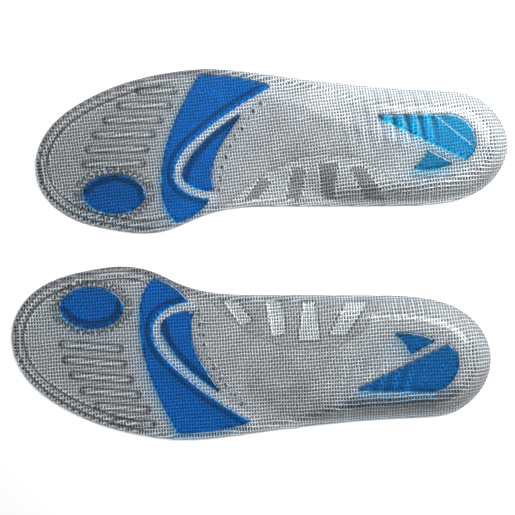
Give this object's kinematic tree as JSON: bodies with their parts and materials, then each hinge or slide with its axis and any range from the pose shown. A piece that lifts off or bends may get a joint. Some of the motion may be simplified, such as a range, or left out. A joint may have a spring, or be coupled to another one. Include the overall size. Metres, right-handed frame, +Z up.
{
  "type": "cushioned insole pair",
  "caption": "Clear gel insoles for the left and right foot, with blue cushioning pads, a woven scrim and a cloth foot side, lying foot side down over hollow heel cups.",
  "frame": {"origin": "bottom centre of the pair's box, on the surface the insoles lie on", "axes": "+X from the toes to the heels, +Y from the right insole to the left one, +Z up out of the gel side"},
  "size_m": [0.2977, 0.2224, 0.0174],
  "materials": {
    "cover_cloth": "matt",
    "mesh_scrim": "satin",
    "clear_gel": "glossy",
    "deep_blue_gel": "glossy",
    "light_blue_gel": "glossy"
  },
  "bodies": {
    "left_insole": {"left_cover_cloth": "cover_cloth", "left_mesh_scrim": "mesh_scrim", "left_gel_body": "clear_gel", "left_toe_pad": "deep_blue_gel", "left_metatarsal_outer_pad": "deep_blue_gel", "left_metatarsal_inner_pad": "deep_blue_gel", "left_heel_wing_pad": "light_blue_gel", "left_heel_fin_pad": "light_blue_gel"},
    "right_insole": {"right_cover_cloth": "cover_cloth", "right_mesh_scrim": "mesh_scrim", "right_gel_body": "clear_gel", "right_toe_pad": "deep_blue_gel", "right_metatarsal_outer_pad": "deep_blue_gel", "right_metatarsal_inner_pad": "deep_blue_gel", "right_heel_wing_pad": "light_blue_gel", "right_heel_fin_pad": "light_blue_gel"}
  },
  "joints": [
    {"name": "right_insole_lift", "type": "slide", "parent": "left_insole", "child": "right_insole", "axis": [0, 0, 1], "range_m": [0, 0.1]}
  ]
}
